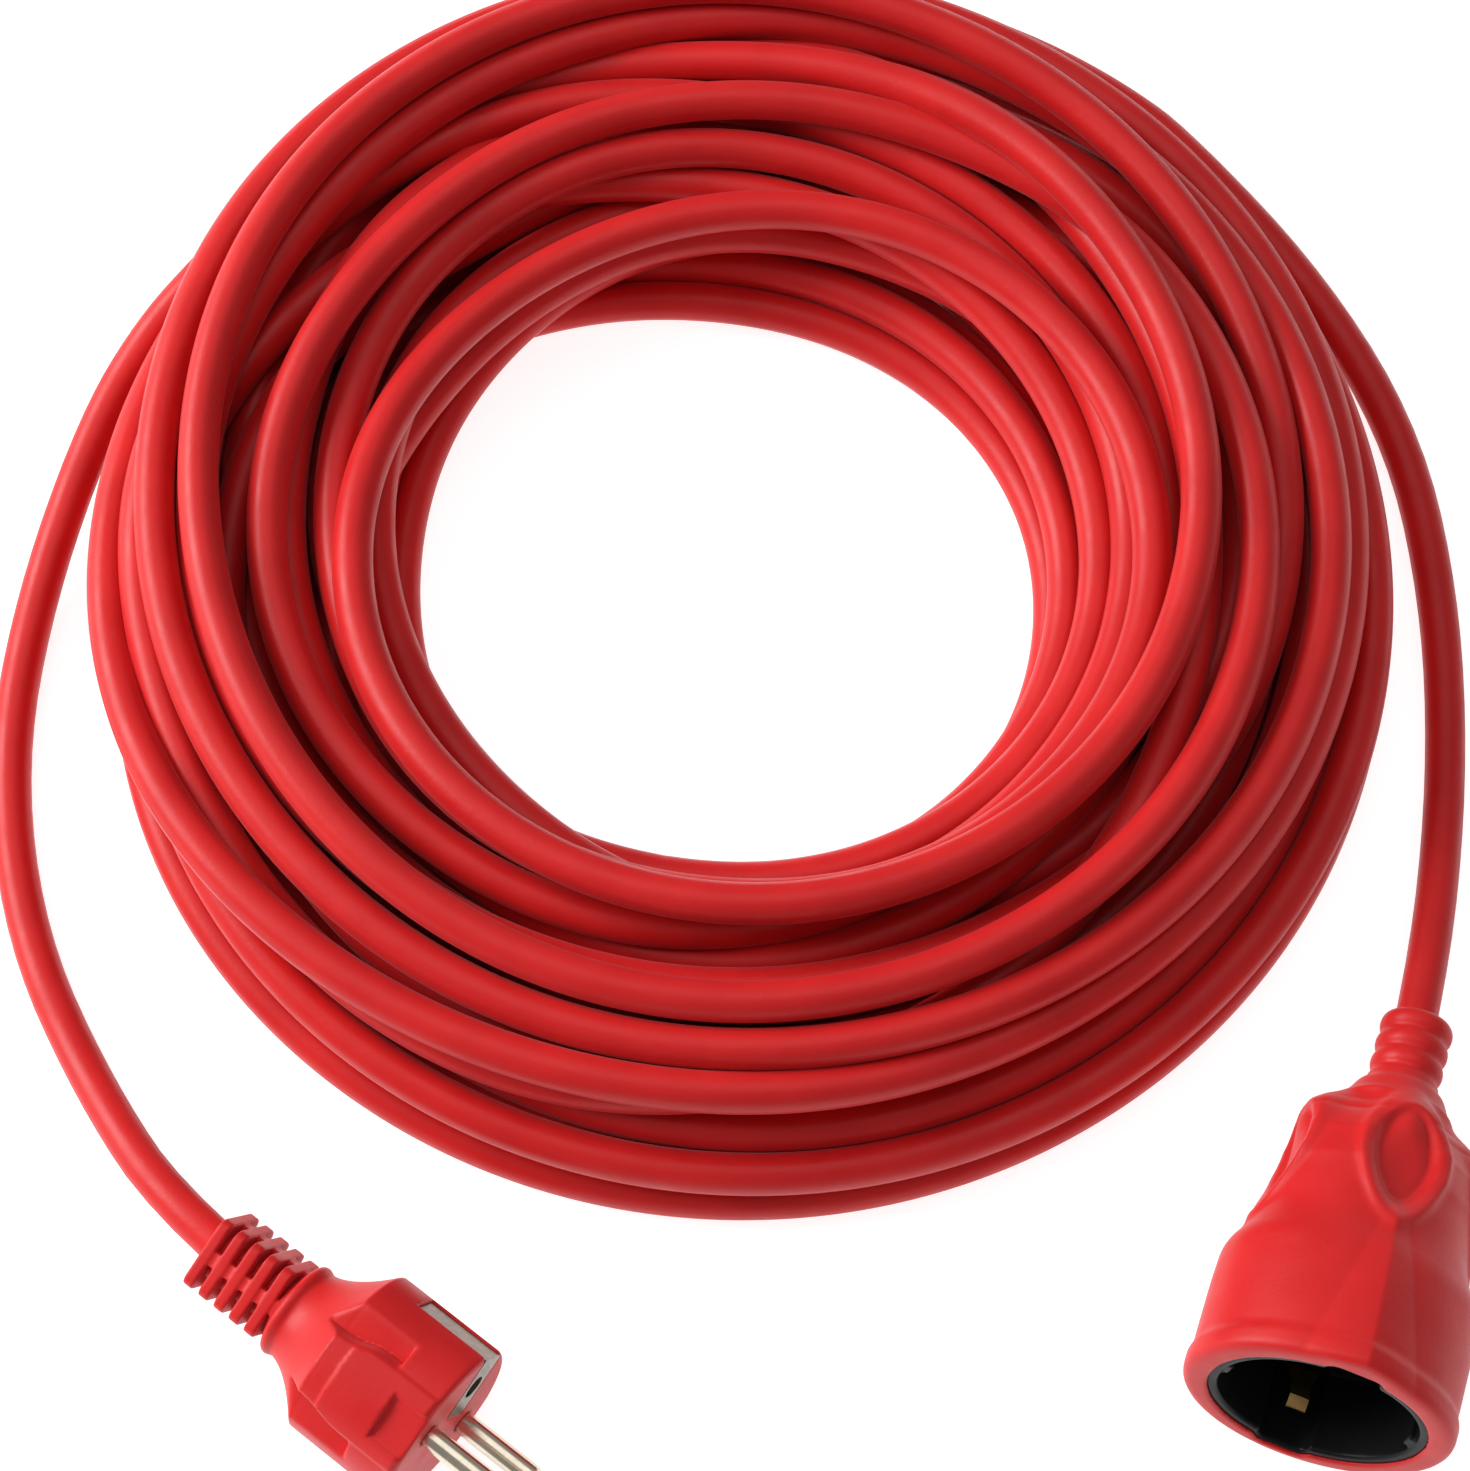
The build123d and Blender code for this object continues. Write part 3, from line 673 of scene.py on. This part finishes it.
def socket_outer(p):
    x, y, z = p
    angle = np.arctan2(y, x)
    behind, wide, high = zip(*SOCKET_OUTLINE)
    between = (0.5 - 0.5 * np.cos(4 * angle)) ** 0.8
    valley = between * np.interp(-z, *zip(*VALLEY))
    a = softened(-z, behind, wide) - valley
    b = softened(-z, behind, high) - valley
    body = (np.hypot(x / a, y / b) - 1.0) * np.minimum(a, b)
    for quarter in range(4):
        offset = (angle - quarter * math.pi / 2 + math.pi) % (2 * math.pi) - math.pi
        down = (z - FINGER_Z) / FINGER_HALF[1]
        across = np.abs(offset * 19.0 / FINGER_HALF[0] * (1 + 0.25 * down))
        oval = (across ** FINGER_POINT + np.abs(down) ** FINGER_POINT) ** (1 / FINGER_POINT)
        dish = FINGER_DEPTH * (0.75 * smooth_share(oval, 1.02, 0.78) + 0.25 * smooth_share(oval, 0.8, 0.0))
        rim = FINGER_RIM * np.exp(-((oval - 1.22) / 0.18) ** 2)
        body = body + dish - rim
    # a ridge over the upper earth clip's channel, from its finger recess to the mouth
    share = np.clip((z - RIDGE_END) / -RIDGE_END, 0.0, 1.0)
    ridge_half = 1.5 + 10.0 * share
    flank = 1.0 - np.clip(np.abs(x) / ridge_half, 0.0, 1.0)
    body = body - np.where(y > 0, flank * RIDGE_TOP * share ** 0.7, 0.0)
    band = LIP * smooth_share(z, -6.4, -3.8)
    return (body - band) * 0.9


def socket_body_field(p):
    x, y, z = p
    body = both(socket_outer(p), slab(z, SOCKET_NECK_Z - 2.0, 0.0), 2.2)
    pitch = (SOCKET_NECK_Z - SOCKET_END_Z) / RINGS
    neck = cylinder(p, RING_CORE_R, SOCKET_END_Z, SOCKET_NECK_Z + 2.0)
    for i in range(RINGS):
        low = SOCKET_END_Z + i * pitch
        ring = both(np.hypot(x, y) - RING_R, slab(z, low, low + 0.78 * pitch), 1.5)
        neck = join(neck, ring, 0.8)
    body = join(body, neck, 1.2)
    body = cut(body, insert_outline(p, 0.05, INSERT_BACK_Z, -INSERT_SUNK), 0.4)
    body = cut(body, insert_outline(p, -LIP_COVER, INSERT_BACK_Z, 5.0), 0.8)
    body = cut(body, cylinder(p, BASE_R + 0.05, BASE_Z, INSERT_BACK_Z + 0.5), 0.2)
    pocket_end = SOCKET_POCKET[0][0]
    pocket = np.maximum(turned(p, SOCKET_POCKET, 0.8), slab(z, pocket_end, BASE_Z + 0.2))
    body = cut(body, pocket, 0.3)
    return cut(body, cylinder(p, CORD_D / 2, -95.0, pocket_end + 1.0), 0.3)


def insert_outline(p, grow, z0, z1):
    x, y, z = p
    round_part = np.hypot(x, y) - INSERT_R - grow
    channel = both(np.abs(x) - CHANNEL_HALF - grow, np.abs(y) - CHANNEL_R - grow, CHANNEL_ROUND)
    return both(join(round_part, channel, 0.6), slab(z, z0, z1), 0.2)


def insert_field(p):
    x, y, z = p
    ax, ay = np.abs(x), np.abs(y)
    cup = both(insert_outline(p, -0.05, INSERT_BACK_Z, 9.0), z + INSERT_SUNK, 0.4)
    hollow = np.hypot(x, y) - RECESS_R
    channel = both(ax - CHANNEL_HALF + CHANNEL_WALL, ay - CHANNEL_R + CHANNEL_WALL, CHANNEL_ROUND)
    hollow = join(hollow, channel, 0.4)
    rib = np.maximum(np.maximum(ay - GUIDE_RIB_HALF, RECESS_R - GUIDE_RIB_T - ax), z + GUIDE_RIB_T)
    hollow = cut(hollow, rib, 0.5)
    cup = cut(cup, np.maximum(hollow, RECESS_FLOOR_Z - z), 0.8)
    through_floor = (-30.0, RECESS_FLOOR_Z + 2.0)
    for side in (-1, 1):
        countersink = np.clip(z - RECESS_FLOOR_Z + 1.2, 0.0, 1.2)
        hole = np.hypot(x - side * PIN_X, y) - HOLE_R - countersink
        cup = cut(cup, np.maximum(hole, slab(z, *through_floor)), 0.2)
        slot = bar((x, side * y, z), (-CLIP_SLOT_HALF, CLIP_SLOT_HALF), CLIP_SLOT_Y, through_floor)
        cup = cut(cup, slot, 0.2)
    return cup


def socket():
    body = shape_of("socket_shell", socket_body_field, 29.0, (-90.0, 2.0), 0.5, SOCKET)
    finish_piece(body, BODY, "moulded_rubber_red", "socket_body")
    insert = shape_of("socket_cup", insert_field, 24.0, (-21.5, 1.5), 0.4, SOCKET)
    finish_piece(insert, BODY, "insert_black", "socket_insert")


# ---------------------------------------------------------------- CAD nodes that keep their shape
def node_slot(name):
    """The record's material slot for a CAD node."""
    return next(part["material_slot"] for part in frame["record"]["subparts"] if part["node"] == name)


def carried_over():
    for name, node in NODES.items():
        if node.hide_render:
            continue
        node.data.materials.clear()
        node.data.materials.append(MATERIALS[node_slot(name)])


camera()
MATERIALS = all_materials()
cord()
studio()
plug()
socket()
carried_over()
